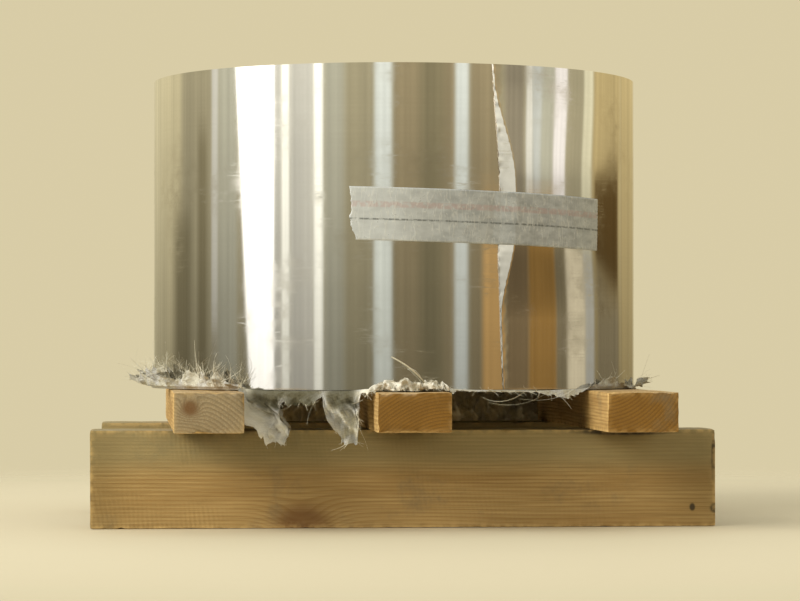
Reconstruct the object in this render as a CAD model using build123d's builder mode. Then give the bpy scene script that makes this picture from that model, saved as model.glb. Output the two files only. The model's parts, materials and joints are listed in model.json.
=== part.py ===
"""A narrow steel coil that stands on end on its small timber skid.

Millimetres, +Z up. The origin is on the floor, below the axis of the coil's bore.
The battens run along Y, the bearers along X, and -Y is the side that is seen first.
Angles round the coil are counted in degrees from -Y towards +X.
"""

from math import cos, radians, sin
import os

from build123d import *

# The wound strip
bore_diameter = 300.0
strip_width = 294.0
strip_thickness = 0.5
strip_turns = 166
outer_end_angle = 19.3
# How far each group of turns has slipped up past the lowest ones, from the bore outwards
turn_slips = (0.6, 0.0, 0.9, 0.3, 1.2, 0.5, 0.0, 0.8, 0.2)

# The tape across the strip's outer end
tape_width = 48.0
tape_thickness = 0.3
tape_gap = 0.3
tape_arc_angle = 64.0
tape_middle_angle = 17.2
tape_above_middle = 8.5
tape_slope = -1.6
# The tape's torn end: how far its edge lies in from the tip, evenly spaced from top to bottom
tape_tear = (0.0, 2.5, 1.5, 8.0)

# The torn sheet between coil and skid
sheet_thickness = 1.0
sheet_overhang = 5.0
sheet_tear_depth = 9.0
sheet_outline_points = 32

# The skid
skid_margin = 52.0
batten_widths = {"left": 62.0, "middle": 66.0, "right": 64.0}
batten_thickness = 36.0
batten_left_inset = 67.0
batten_right_inset = 56.0
batten_middle_offset = -3.0
batten_turns = {"left": 0.4, "middle": -0.3, "right": 0.2}
bearer_width = 65.0
bearer_height = 90.0
bearer_spacing = 270.0
bearer_extra_length = 6.0
bearer_shifts = {"front": -3.0, "rear": 3.0}
arris_width = 1.5

# Places that follow from the sizes above
bore_radius = bore_diameter / 2
coil_radius = bore_radius + strip_turns * strip_thickness
group_width = (coil_radius - bore_radius) / len(turn_slips)
batten_seat = bearer_height
sheet_seat = batten_seat + batten_thickness
coil_seat = sheet_seat + sheet_thickness
coil_height = strip_width + max(turn_slips)
timber_length = 2 * (coil_radius + skid_margin)
batten_places = {
    "left": -timber_length / 2 + batten_left_inset + batten_widths["left"] / 2,
    "middle": batten_middle_offset,
    "right": timber_length / 2 - batten_right_inset - batten_widths["right"] / 2,
}
bearer_length = timber_length + bearer_extra_length
bearer_places = {
    "front": (bearer_shifts["front"], -bearer_spacing / 2, 0),
    "rear": (bearer_shifts["rear"], bearer_spacing / 2, 0),
}


def around(radius, angle):
    """The point in plan at this radius and angle."""
    return Vector(radius * sin(radians(angle)), -radius * cos(radians(angle)))


# Coil: the outer turn closes in by one thickness on the last half of its way round
with BuildPart() as coil:
    with BuildSketch(Plane.XY.offset(coil_seat)):
        with BuildLine():
            strip_end = around(coil_radius, outer_end_angle)
            opposite = around(coil_radius, outer_end_angle + 180)
            turn_below = around(coil_radius - strip_thickness, outer_end_angle)
            closing_centre = (opposite + turn_below) / 2
            closing_radius = coil_radius - strip_thickness / 2
            ThreePointArc(strip_end, around(coil_radius, outer_end_angle + 90), opposite)
            closing_quarter = closing_centre + around(closing_radius, outer_end_angle + 270)
            ThreePointArc(opposite, closing_quarter, turn_below)
            Line(turn_below, strip_end)
        make_face()
        Circle(bore_radius, mode=Mode.SUBTRACT)
    extrude(amount=coil_height)

    # Each group of turns is as wide as the strip, so it steps alike on both ends
    with BuildSketch(Plane.XZ):
        for group, slip in enumerate(turn_slips):
            group_start = bore_radius + group * group_width
            beyond = group_width if group == len(turn_slips) - 1 else 0
            below = (Align.MIN, Align.MIN)
            with Locations((group_start, coil_seat)):
                if slip > 0:
                    Rectangle(group_width + beyond, slip, align=below)
            with Locations((group_start, coil_seat + strip_width + slip)):
                if slip < max(turn_slips):
                    Rectangle(group_width + beyond, max(turn_slips) - slip, align=below)
    revolve(axis=Axis.Z, mode=Mode.SUBTRACT)
coil.part.label = "coil"


# Tape: a thin band round the coil, cut to the tape's outline as seen from straight in front of it
tape_inner_radius = coil_radius + tape_gap
tape_outer_radius = tape_inner_radius + tape_thickness
tape_centre_height = coil_seat + strip_width / 2 + tape_above_middle
tape_half_chord = tape_outer_radius * sin(radians(tape_arc_angle / 2))
tape_outward = around(1, tape_middle_angle)
tape_along = around(cos(radians(tape_slope)), tape_middle_angle + 90)
tape_plane = Plane(
    origin=tape_outward * tape_outer_radius * 2 + Vector(0, 0, tape_centre_height),
    x_dir=tape_along + Vector(0, 0, sin(radians(tape_slope))),
    z_dir=tape_outward,
)
with BuildPart() as tail_tape:
    with BuildSketch(Plane.XY.offset(coil_seat)):
        Circle(tape_outer_radius)
        Circle(tape_inner_radius, mode=Mode.SUBTRACT)
    extrude(amount=coil_height)
    with BuildSketch(tape_plane):
        with BuildLine():
            tear_step = tape_width / (len(tape_tear) - 1)
            torn_edge = [
                (-tape_half_chord + inset, tape_width / 2 - step * tear_step)
                for step, inset in enumerate(tape_tear)
            ]
            cut_end = [(tape_half_chord, -tape_width / 2), (tape_half_chord, tape_width / 2)]
            Polyline(*torn_edge, *cut_end, close=True)
        make_face()
    extrude(amount=-2 * tape_outer_radius, mode=Mode.INTERSECT)
tail_tape.part.label = "tail_tape"


def torn_reach(angle):
    """How far the sheet reaches at this angle: the coil's edge, its overhang and uneven tears."""
    turn = radians(angle)
    tear = 0.5 * sin(3 * turn + 0.6) + 0.3 * sin(7 * turn) + 0.2 * sin(11 * turn + 2.0)
    return coil_radius + sheet_overhang + sheet_tear_depth * tear


# Sheet: flat between the coil and the battens, torn off all round
with BuildPart() as wrap_sheet:
    with BuildSketch(Plane.XY.offset(sheet_seat)):
        with BuildLine():
            outline_angles = [360 * step / sheet_outline_points for step in range(sheet_outline_points)]
            Spline(*[around(torn_reach(angle), angle) for angle in outline_angles], periodic=True)
        make_face()
    extrude(amount=sheet_thickness)
wrap_sheet.part.label = "wrap_sheet"


def sawn_timber(label, underside, turn, along_x, along_y, height):
    """One sawn timber that stands on a point of its underside, with its arrises rubbed down."""
    ground = Plane(origin=underside, x_dir=(cos(radians(turn)), sin(radians(turn)), 0))
    with BuildPart() as timber:
        with BuildSketch(ground):
            Rectangle(along_x, along_y)
        extrude(amount=height)
        chamfer(timber.edges(), length=arris_width)
    timber.part.label = label
    return timber.part


bearers = [
    sawn_timber(f"bearer_{name}", place, 0, bearer_length, bearer_width, bearer_height)
    for name, place in bearer_places.items()
]
battens = [
    sawn_timber(
        f"batten_{name}",
        (place, 0, batten_seat),
        batten_turns[name],
        batten_widths[name],
        timber_length,
        batten_thickness,
    )
    for name, place in batten_places.items()
]

os.makedirs("parts", exist_ok=True)
for piece in (coil.part, tail_tape.part, wrap_sheet.part, *bearers, *battens):
    export_step(piece, f"parts/{piece.label}.step")
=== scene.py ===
import itertools
import json
import math

import bmesh
import bpy
import numpy as np
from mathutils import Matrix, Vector


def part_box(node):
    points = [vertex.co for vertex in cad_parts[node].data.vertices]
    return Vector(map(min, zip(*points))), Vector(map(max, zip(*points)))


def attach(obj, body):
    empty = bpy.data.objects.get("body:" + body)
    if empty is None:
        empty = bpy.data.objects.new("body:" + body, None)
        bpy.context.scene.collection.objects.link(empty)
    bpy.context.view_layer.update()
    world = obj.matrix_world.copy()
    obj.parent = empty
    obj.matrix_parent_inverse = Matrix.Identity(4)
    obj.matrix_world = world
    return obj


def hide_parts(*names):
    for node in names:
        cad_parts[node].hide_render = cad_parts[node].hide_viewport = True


bl_info = {
    "name": "Steel coil on a timber skid",
    "version": (1, 0, 0),
    "blender": (4, 5, 0),
    "location": "3D View > Sidebar > Steel coil",
    "description": "Dresses a bright steel strip coil, its torn wrap and its sawn timber skid",
    "category": "Object",
}

# One millimetre in metres
MM = 0.001

# The packed solids, in metres, with +Z up and -Y towards the side that is seen first
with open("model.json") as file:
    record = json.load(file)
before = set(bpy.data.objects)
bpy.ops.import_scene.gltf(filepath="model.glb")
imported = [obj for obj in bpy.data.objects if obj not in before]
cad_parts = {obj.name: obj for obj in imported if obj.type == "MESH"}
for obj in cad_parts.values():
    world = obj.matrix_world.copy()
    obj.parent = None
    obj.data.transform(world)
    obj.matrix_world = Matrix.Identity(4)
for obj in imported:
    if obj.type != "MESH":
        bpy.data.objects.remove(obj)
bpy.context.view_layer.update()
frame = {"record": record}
MOUNTS = {mount["name"]: mount for mount in frame["record"]["mounts"]}
COIL_LOW, COIL_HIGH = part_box("coil")
TAPE_LOW, TAPE_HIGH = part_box("tail_tape")
SHEET_LOW, SHEET_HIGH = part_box("wrap_sheet")
TAPE_MIDDLE = (TAPE_LOW.z + TAPE_HIGH.z) / 2
COIL_RADIUS = COIL_HIGH.x
BORE_RADIUS = MOUNTS["coil_bore"]["dims"]["r_mm"] * MM
STRIP_WIDTH = MOUNTS["coil_bore"]["dims"]["length_mm"] * MM
BATTENS = ("batten_left", "batten_middle", "batten_right")
BATTEN_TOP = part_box("batten_middle")[1].z

# The groups of turns from the bore outwards, by how far each has slipped up, in millimetres
TURN_SLIPS = (0.6, 0.0, 0.9, 0.3, 1.2, 0.5, 0.0, 0.8, 0.2)
# How far the strip's end runs out of plumb, in millimetres, at shares of its width from below
END_WANDER = ((0, 0.42, 0.59, 1), (3.5, -1.2, 1.5, -7))
# Where the strip's rising end narrows, in millimetres above and below the tape's middle
NARROWS_ABOVE = (35, 125)
NARROWS_BELOW = (14, 92)
NARROWS_BY = 0.88
# The tape's torn end from top to bottom: how far its edge lies in from the tip, in millimetres
TAPE_TEAR = (0.0, 2.5, 1.5, 8.0)
# Printed rules on the tape: height above its middle and half width in millimetres, colour, strength
TAPE_RULES = (
    (8.5, 2.6, (0.5, 0.3, 0.27), 0.4),
    (-4.9, 0.8, (0.12, 0.13, 0.12), 0.75),
)
# The sheet's free rim: its length in millimetres where it has no rag, and its rows of points
RIM_LENGTH = 5.0
RIM_ROWS = 26
# The rags of the sheet: middle and half width in degrees round the coil, free length in
# millimetres, slope in degrees up or down, what the slope changes by at the tip, drift to the right
# in millimetres, and the painted light on the cloth next to the coil and at the tip, from -1
# (painted shade) to 1 (painted light)
RAGS = (
    (-91, 9, 18, 42, 0, 0, 0, 0.1),
    (-74, 11, 23, 80, -14, 0, 0, 0),
    (-52, 12, 17, 84, 0, 0, 0.3, 0.3),
    (-34.2, 4.2, 56, -104, 52, 16, -1, 0.6),
    (-25.5, 5.5, 13, -95, 0, 0, -1, -1),
    (-15.8, 3.7, 46, -100, 24, 4, -1, 0),
    (-10.6, 1.6, 13, 15, 0, 0, 1, 1),
    (-1.4, 9.6, 30, 62, -180, 0, 1, 1),
    (36, 8, 9, -60, 30, 0, 0, 0),
    (53, 9, 10, 80, 0, 0, 0, 0),
    (78, 9, 15, 50, 0, 0, 0, 0),
    (100, 8, 26, -80, 20, 0, 0, 0),
    (118, 6, 14, 70, 0, 0, 0, 0),
    (152, 25, 66, -92, 10, -9, 0.6, 0.6),
    (205, 22, 66, -92, 10, 0, 0.6, 0.6),
    (240, 7, 16, 75, 0, 0, 0, 0),
    (260, 8, 15, 60, 0, 0, 0, 0),
)
# Where the tear has more fibres: middle and half width in degrees, and how much more
FRAYED_MORE = ((-66, 28, 1.6), (-3, 10, 1.5))
# Threads pulled out of the sheet: width, start, control point and end of each, in millimetres
LOOSE_THREADS = (
    (2.2, (10, -239, 131), (-2, -258, 147), (-23, -254, 157)),
    (1.2, (8, -240, 131), (0, -256, 149), (-9, -258, 146)),
    (0.6, (-176, -160, 129), (-182, -184, 150), (-176, -178, 160)),
    (0.6, (-166, -172, 129), (-160, -196, 146), (-168, -184, 158)),
    (0.6, (104, -212, 127), (80, -232, 110), (60, -230, 121)),
    (0.6, (126, -200, 126), (98, -226, 108), (66, -236, 116)),
    (0.6, (150, -184, 127), (128, -212, 114), (96, -222, 119)),
    (0.6, (-224, -66, 128), (-240, -80, 146), (-236, -96, 152)),
    (0.6, (-212, -100, 130), (-230, -120, 150), (-214, -140, 158)),
)
# Each timber, in millimetres: the axis of its length, its turn in degrees, its pith with the length
# first, the growth rings' width, the saw's pitch, the setting with its end's colour, where the
# painted shade of a bearer's upper part starts, and its spots: knots, stains with one painted
# shadow line, and spots of painted shade under the battens and of grime at the bearers' ends. A
# spot has a middle and radii, and each spot of shade and of grime also its strength.
TIMBERS = {
    "bearer_front": {
        "axis": "X", "turn": 0.0, "pith": (0, -150, -35), "ring": 3.4, "saw_pitch": 4.2,
        "end": "end_bearer", "shaded_above": 56,
        "knots": (((-98, -168, 6), (30, 30, 19)), ((120, -135, 95), (12, 10, 20))),
        "stains": (
            ((285, -168, 46), (4, 10, 7)), ((284, -168, 17), (5, 10, 5)),
            ((283.5, -168, 64), (3, 10, 24)), ((263, -168, 18), (3, 6, 4)),
            # A thin dark line along the top edge under the right batten: a painted contact shadow
            ((200, -167.5, 88), (50, 10, 4)),
        ),
        # The first three are painted shade under the battens, the last two grime at the bearer's
        # ends
        "smudges": (
            ((-187, -168, 90), (32, 30, 11), 0.8), ((-3, -168, 90), (34, 30, 11), 0.85),
            ((197, -168, 90), (34, 30, 11), 0.7), ((-290, -168, 45), (30, 40, 80), 0.4),
            ((285, -168, 45), (60, 40, 80), 0.34),
        ),
    },
    "bearer_rear": {
        "axis": "X", "turn": 0.0, "pith": (0, 110, 130), "ring": 3.1, "saw_pitch": 3.9,
        "end": "end_bearer", "shaded_above": 62,
        "knots": (((140, 168, 30), (14, 30, 12)), ((-190, 168, 66), (9, 30, 8))),
        "stains": (((-285, 135, 10), (10, 40, 6)),),
        # Both are painted shade under the battens
        "smudges": (((197, 168, 90), (34, 30, 11), 0.5), ((-3, 168, 90), (34, 30, 11), 0.5)),
    },
    "batten_left": {
        "axis": "Y", "turn": 0.4, "pith": (0, -210, 50), "ring": 3.6, "saw_pitch": 3.6,
        "end": "end_left",
        "knots": (((-201.5, -284, 112.5), (8.5, 10, 8)), ((-200, 200, 126), (10, 13, 20))),
    },
    "batten_middle": {
        "axis": "Y", "turn": -0.3, "pith": (0, 30, 30), "ring": 2.9, "saw_pitch": 3.3,
        "end": "end_golden", "knots": (((10, 100, 126), (9, 12, 20)),),
    },
    "batten_right": {
        "axis": "Y", "turn": 0.2, "pith": (0, 160, 160), "ring": 3.2, "saw_pitch": 3.5,
        "end": "end_golden", "knots": (((229, 160, 105), (20, 11, 8)),),
    },
}
DUST_COLOUR = (0.42, 0.38, 0.3)
# Where hands and gloves have dulled the rolled face and the slit edges, and the tape's pale creases
FACE_SMUDGE_COLOUR = (0.5, 0.45, 0.36)
EDGE_SMUDGE_COLOUR = (0.3, 0.25, 0.19)
CREASE_COLOUR = (0.75, 0.74, 0.68)

# Tones of what stands round the studio, which light the piece and show in the steel
STUDIO_TONES = {
    "olive": (0.56, 0.5, 0.32),
    "tan": (0.86, 0.76, 0.47),
    "ochre": (0.78, 0.61, 0.29),
    "brown": (0.5, 0.41, 0.24),
    "umber": (0.36, 0.31, 0.18),
    "chestnut": (0.45, 0.32, 0.165),
    "dark": (0.17, 0.1, 0.03),
    "amber": (0.74, 0.42, 0.12),
    "apricot": (1.06, 0.66, 0.25),
    "drab": (0.38, 0.33, 0.23),
    "grey": (0.72, 0.7, 0.54),
    "pewter": (0.8, 0.82, 0.75),
    "pale": (1.02, 0.99, 0.86),
    "blush": (1.27, 1.2, 1.14),
    "tube": (1.14, 1.2, 1.12),
    "lamp": (1.33, 1.4, 1.28),
    "straw": (1.06, 0.99, 0.69),
    "flax": (1.65, 1.45, 1.02),
    "cream": (2.1, 2.08, 1.85),
    "window": (3.4, 3.35, 3.2),
    "ceiling": (0.74, 0.7, 0.6),
}
# Cards round the studio by azimuth, counted from the camera's side towards +X, and by elevation, in
# degrees: from, to, bottom and top (None where the card has no end), softness of the edges, lean of
# the first edge for each degree of elevation, and tone. Each lies in front of those before it.
STUDIO_CARDS = (
    (-200, -121, None, None, 7, 0, "tan"),
    (-128, -112, -6, 2.6, 9, 0, "umber"),
    (-106, -99, None, 4.2, 4, 0, "umber"),
    (-95.5, -91, 0.3, None, 1.6, 0, "pale"),
    (-91, -79, None, None, 4, 0, "grey"),
    (-72.5, -57.5, None, 60, 1.6, -1.35, "window"),
    (-57.5, -53.5, None, None, 1, 0, "pale"),
    (-53.5, -49.5, None, 60, 1.2, 0, "cream"),
    (-49.5, -37.5, None, None, 2.5, 0, "pale"),
    (-37.5, -32.8, None, 60, 1.4, 0, "cream"),
    (-32.5, -23, None, None, 5, 0, "grey"),
    (-8.6, -0.8, None, 40, 2.6, 0, "tube"),
    (-8.4, -1, None, 2.4, 2.6, 0, "lamp"),
    (0.5, 28, None, None, 1.5, 0, "brown"),
    (12, 23, None, None, 6, 0, "umber"),
    (28.4, 34.6, None, 40, 2.6, 0, "tube"),
    (36, 51, None, None, 2.6, 0, "brown"),
    (42, 53, None, 2.3, 3, 0, "apricot"),
    (53, 64, 2.2, None, 3, 0, "drab"),
    (54, 66, None, 2.2, 3, 0, "chestnut"),
    (65, 69, 2.2, None, 1.5, 0, "pale"),
    (69, 76, 2.2, None, 2.5, 0, "pewter"),
    (74, 82, 2.2, None, 2.5, 0, "grey"),
    (66, 83, None, 2.7, 3, 0, "amber"),
    (82, 90, 2.2, None, 2, 0, "blush"),
    (83, 91, None, 2.0, 3, 0, "brown"),
    (91, 101, 1.0, None, 3, 0, "olive"),
    (90, 103, None, 0.6, 3, 0, "flax"),
    (102, 109.5, 0.8, 60, 2, 0, "straw"),
    (103, 110, None, 0.8, 2, 0, "pale"),
    (110, 137, None, None, 3, 0, "ochre"),
    (112, 135, None, 0.9, 4, 0, "brown"),
    (112, 134, 1.0, 3.5, 3, 0, "dark"),
    (137, 200, None, None, 6, 0, "ochre"),
)
# Softness of the cards' lower and upper ends
CARD_END_SOFTNESS = 0.8
# Where the cards stand in front of the backdrop: from, to and softness
CARD_ARC = (-166, 166, 14.0)
# Above the cards: bottom, top, from, to and tone
STUDIO_CEILING = (
    (24, 200, -400, 400, "ceiling"),
    (42, 68, -110, -20, "tube"),
    (50, 75, 60, 150, "tube"),
)
# Softness of the edges above and below, and at the sides
CEILING_SOFTNESS = (14.0, 20.0)


# Shapes


def in_metres(sizes):
    """Millimetres carried to metres."""
    return tuple(size * MM for size in sizes)


def around(radius, angle):
    """Plan positions at a radius and an angle in radians, counted from -Y towards +X."""
    return np.stack([radius * np.sin(angle), -radius * np.cos(angle)], axis=-1)


def with_height(place, height):
    """Points in space from plan positions and heights, each spread over the other's grid."""
    return np.stack(np.broadcast_arrays(place[..., 0], place[..., 1], height), axis=-1)


def unit(vectors):
    """The same directions with a length of 1."""
    return vectors / np.maximum(np.linalg.norm(vectors, axis=-1, keepdims=True), 1e-9)


def smoothstep(value, low, high):
    """An S-curve from 0 at low to 1 at high: three times the share's square less twice its cube."""
    share = np.clip((value - low) / (high - low), 0, 1)
    return share * share * (3 - 2 * share)


def smooth_noise(points, cell, seed):
    """Random values at the corners of cubes of one cell's side, blended by an S-curve; -1 to 1."""
    scaled = points / np.asarray(cell, dtype=float)
    corner = np.floor(scaled).astype(np.int64)
    blend = smoothstep(scaled - corner, 0, 1)
    values = np.random.default_rng(seed).uniform(-1, 1, 4096)
    primes = np.array([73856093, 19349663, 83492791])
    total = 0
    for steps in itertools.product((0, 1), repeat=3):
        steps = np.array(steps)
        key = ((corner + steps) * primes).sum(axis=-1) % len(values)
        total = total + np.where(steps == 1, blend, 1 - blend).prod(axis=-1) * values[key]
    return total


def grid_quads(rows, columns, close_rows=False, close_columns=False):
    """The quads between neighbours on a grid of points, which may close on itself either way."""
    row, column = np.meshgrid(
        np.arange(rows if close_rows else rows - 1),
        np.arange(columns if close_columns else columns - 1),
        indexing="ij",
    )
    next_row = (row + 1) % rows
    next_column = (column + 1) % columns
    corners = [(row, column), (row, next_column), (next_row, next_column), (next_row, column)]
    return np.stack([y * columns + x for y, x in corners], axis=-1).reshape(-1, 4)


def disc_faces(rows, columns, far_end=False):
    """The faces of a grid closed round its columns, with a cap on its first row or on both ends."""
    faces = grid_quads(rows, columns, close_columns=True).tolist()
    caps = (0, rows - 1) if far_end else (0,)
    return faces + [list(range(row * columns, (row + 1) * columns)) for row in caps]


def new_piece(name, points, faces, material, slot, uv=None, sharp=50, merge=0.0, **weights):
    """A piece on the root body, from a grid of points, and from faces, which are turned outwards.

    Edges sharper than so many degrees stay sharp, points closer than merge become one, and each
    weight is a value that the mesh keeps for every point.
    """
    mesh = bpy.data.meshes.new(name)
    mesh.from_pydata(points.reshape(-1, 3).tolist(), [], [list(face) for face in faces])
    if uv is not None:
        layer = mesh.uv_layers.new(name="UVMap")
        corner_points = np.empty(len(mesh.loops), dtype=np.int64)
        mesh.loops.foreach_get("vertex_index", corner_points)
        corner_uv = uv.reshape(-1, 2)[corner_points].astype(np.float32)
        layer.data.foreach_set("uv", corner_uv.ravel())
    for weight, values in weights.items():
        attribute = mesh.attributes.new(weight, "FLOAT", "POINT")
        attribute.data.foreach_set("value", values.ravel().astype(np.float32))
    work = bmesh.new()
    work.from_mesh(mesh)
    if merge > 0:
        bmesh.ops.remove_doubles(work, verts=work.verts, dist=merge)
    bmesh.ops.recalc_face_normals(work, faces=work.faces)
    work.to_mesh(mesh)
    work.free()
    mesh.shade_smooth()
    mesh.set_sharp_from_angle(angle=math.radians(sharp))
    mesh.materials.append(material)
    piece = bpy.data.objects.new(name, mesh)
    bpy.context.scene.collection.objects.link(piece)
    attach(piece, "root")
    return piece


def facet_width(height, settings):
    """How wide the rising end is: widest at the tape, and narrower towards the strip's edges."""
    from_tape = height - TAPE_MIDDLE
    above = smoothstep(from_tape, *in_metres(NARROWS_ABOVE))
    below = smoothstep(-from_tape, *in_metres(NARROWS_BELOW))
    return settings.end_width * (1 - NARROWS_BY * np.maximum(above, below))


def strip_lift(along, height, settings):
    """How far the strip stands off near its free end.

    From the end it rises on a flat facet, whose height is the slope times the way plus the way
    squared over the diameter, until it meets a long cosine that comes back to the coil. The lower
    of the two counts, and a soft minimum blends them.
    """
    width = facet_width(height, settings)
    slope = math.tan(math.radians(settings.end_slope))
    facet, crest = (way * slope + way**2 / (2 * COIL_RADIUS) for way in (along, width))
    fall = crest * (0.5 + 0.5 * np.cos(math.pi * np.clip(along / settings.end_reach, 0, 1)))
    blend = 0.03 * MM
    lower = -np.logaddexp(-facet / blend, -fall / blend)
    return blend * (lower + np.logaddexp(0, -crest / blend))


def end_wander(height):
    """How far the strip's cut end runs out of plumb: straight stretches between four heights."""
    shares, wander = END_WANDER
    share = (height - COIL_HIGH.z + STRIP_WIDTH) / STRIP_WIDTH
    return np.interp(share, shares, in_metres(wander))


def strip_turn(settings, radius, end_angle, outwards, slip, lift, rows):
    """One turn of strip, closed all round, from its cut end round to a little way under itself.

    Its face is a cylinder that closes in by one thickness over the second half of the way. To that
    come the lift of the free end, dents along it, and a slow random wave. The cut end wanders a
    little and is scalloped by the size of a sine, with bites that differ in depth.
    """
    thickness = settings.strip_thickness
    fine_part, under_itself, end_reach, dent_reach = 36 * MM, 30 * MM, 20 * MM, 4 * MM
    fine_rows, long_rows, back_rows = 90, 210, 10
    way_round = 2 * math.pi * radius + under_itself
    along = np.concatenate([
        np.linspace(0, fine_part, fine_rows), np.linspace(fine_part, way_round, long_rows)[1:]])
    along = along[:, None]
    share = np.concatenate([np.linspace(0, 1, rows), np.linspace(1, 0, back_rows)])
    height = COIL_HIGH.z + (slip - max(TURN_SLIPS)) * MM - STRIP_WIDTH * (1 - share[None, :])
    behind = np.arange(rows + back_rows) >= rows
    closing = (thickness + 0.02 * MM) * np.clip(along / radius / math.pi - 1, 0, 1)

    bites = np.abs(np.sin(math.pi * height / settings.scallop_pitch))
    bites = bites * (0.5 + 0.5 * smooth_noise(height[..., None] * np.ones(3), 9 * MM, 3))
    near_end = np.exp(-along / end_reach)
    bitten = along + settings.scallop_depth * bites * near_end
    shifted = bitten + lift * end_wander(height) * near_end
    angle = end_angle + outwards * shifted / radius
    face = with_height(around(radius, angle), height)
    waves = smooth_noise(face, in_metres((70, 70, 220)), 4)
    dents = smooth_noise(face, in_metres((4, 4, 4.5)), 8) * np.exp(-along / dent_reach)
    standing = lift * (strip_lift(bitten, height, settings) + settings.dent_depth * dents)
    off = standing + settings.wave_height * waves - closing - thickness * behind
    points = with_height(around(radius + outwards * off, angle), height)

    uv = np.stack(np.broadcast_arrays(along, height), axis=-1)
    width = facet_width(height, settings)
    burnished = lift * (1 - smoothstep(along, 0.85 * width, 1.1 * width))
    return points, disc_faces(*points.shape[:2], far_end=True), uv, burnished


def windings(settings):
    """The wound turns: a closed profile carried round the bore's axis.

    On both ends the groups of turns step up and down by their slips. The top end also has a flat
    ring and a groove for every few turns, each ring at its own height, which drifts slowly on its
    way round. The top stays a little below the solid's.
    """
    off_inner_turn, off_outer_turn = in_metres((0.1, 0.3))
    inner = BORE_RADIUS + settings.strip_thickness + off_inner_turn
    outer = COIL_RADIUS - settings.strip_thickness - off_outer_turn
    slips = np.array(in_metres(TURN_SLIPS))
    groups, rings, columns = len(slips), 56, 420
    groove_depth, ring_play, below_top = 0.5 * MM, 0.12 * MM, 0.25 * MM
    ring = np.repeat(np.arange(rings), 3)
    inside_ring = np.tile([0.0, 0.16, 0.84], rings)
    top_radius = inner + (ring + inside_ring) * (outer - inner) / rings
    group = (top_radius - BORE_RADIUS) / (COIL_RADIUS - BORE_RADIUS) * groups
    slip = slips[np.minimum(group, groups - 1).astype(int)][ring * 3 + 1]
    jitter = np.random.default_rng(7).uniform(-1, 1, rings)[ring]
    groove = np.where(inside_ring == 0, groove_depth, 0)
    bottom_radius = np.repeat(np.linspace(inner, outer, groups + 1), 2)[1:-1][::-1]
    bottom_slip = np.repeat(slips, 2)[::-1]
    seat = COIL_HIGH.z - max(slips) - STRIP_WIDTH

    angle = np.linspace(0, 2 * math.pi, columns, endpoint=False)[:, None]
    circle = around(0.4, angle + 0 * top_radius)
    drift = smooth_noise(with_height(circle, 60 * top_radius), (0.16, 0.16, 0.11), 9)
    top = seat + STRIP_WIDTH + slip - groove + ring_play * (jitter + drift) - below_top
    height = np.concatenate([top, seat + bottom_slip + 0 * angle], axis=1)
    radius = np.concatenate([top_radius, bottom_radius]) + 0 * angle
    points = with_height(around(radius, angle), height)
    return points, grid_quads(*radius.shape, close_rows=True, close_columns=True)


def tape_film(settings):
    """The tape: a band that leans a little, laid on the turn's face just above its lift.

    One end is torn, by a few straight tears and fine noise. The other has a dispenser's teeth.
    """
    rows, columns = 240, 34
    clear, tear_play, tooth_depth, tooth_pitch = in_metres((0.4, 0.8, 0.9, 2.4))
    length = COIL_RADIUS * math.radians(settings.tape_arc)
    share = np.linspace(0, 1, rows)[:, None]
    across = settings.tape_width * np.linspace(0.5, -0.5, columns)[None, :]
    from_top = 0.5 - across / settings.tape_width
    tear = np.interp(from_top, np.linspace(0, 1, len(TAPE_TEAR)), TAPE_TEAR) * MM
    tear = tear + tear_play * smooth_noise(across[..., None] * np.array([0, 1, 0]), 2.2 * MM, 21)
    teeth = tooth_depth * np.abs((across / tooth_pitch) % 1 * 2 - 1)
    along = -length / 2 + tear + (length - tear - teeth) * share

    lean = math.radians(settings.tape_lean)
    shifted = along * math.cos(lean) - across * math.sin(lean)
    turned = math.radians(settings.tape_angle) + shifted / COIL_RADIUS
    height = TAPE_MIDDLE + along * math.sin(lean) + across * math.cos(lean)
    from_end = (turned - math.radians(settings.outer_end)) * COIL_RADIUS - end_wander(height)
    over_step = strip_lift(np.maximum(from_end, 0), height, settings)
    sunk = settings.strip_thickness * (1 - smoothstep(from_end, -6 * MM, 0))
    film = with_height(around(COIL_RADIUS, turned), height)
    wrinkles = 0.1 * MM * smooth_noise(film, in_metres((9, 9, 5)), 5)
    bubbles = 0.3 * MM * np.clip(smooth_noise(film, 26 * MM, 6) - 0.35, 0, 1)
    off = clear + over_step - sunk + wrinkles + bubbles
    points = with_height(around(COIL_RADIUS + off, turned), height)
    uv = np.stack(np.broadcast_arrays(along, across), axis=-1)
    return points, grid_quads(*along.shape), uv


def over_batten(name, place):
    """True for each plan position that lies over this batten."""
    low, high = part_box(name)
    within = (place[..., 0] > low.x) & (place[..., 0] < high.x)
    return within & (np.abs(place[..., 1]) < high.y)


def over_any_batten(place):
    """True for each plan position that lies over one of the battens."""
    return np.any([over_batten(name, place) for name in BATTENS], axis=0)


def beside_battens(place, height, root):
    """Carries what hangs from beside a batten, and would reach into it, to 1 mm within its side."""
    moved = place.copy()
    for name in BATTENS:
        low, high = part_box(name)
        within = over_batten(name, place) & (height > low.z) & (height < high.z)
        left_of_it = root[..., 0] < (low.x + high.x) / 2
        side = np.where(left_of_it, low.x + 1 * MM, high.x - 1 * MM)
        moved[..., 0] = np.where(within & ~over_any_batten(root), side, moved[..., 0])
    return moved


def sag_between(place):
    """How far cloth sags between two battens: half a sine across each gap, 0 over a batten."""
    sag = np.zeros(place.shape[:-1])
    for left, right in zip(BATTENS, BATTENS[1:]):
        start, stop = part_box(left)[1].x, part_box(right)[0].x
        sag += np.sin(math.pi * np.clip((place[..., 0] - start) / (stop - start), 0, 1))
    return sag


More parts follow.
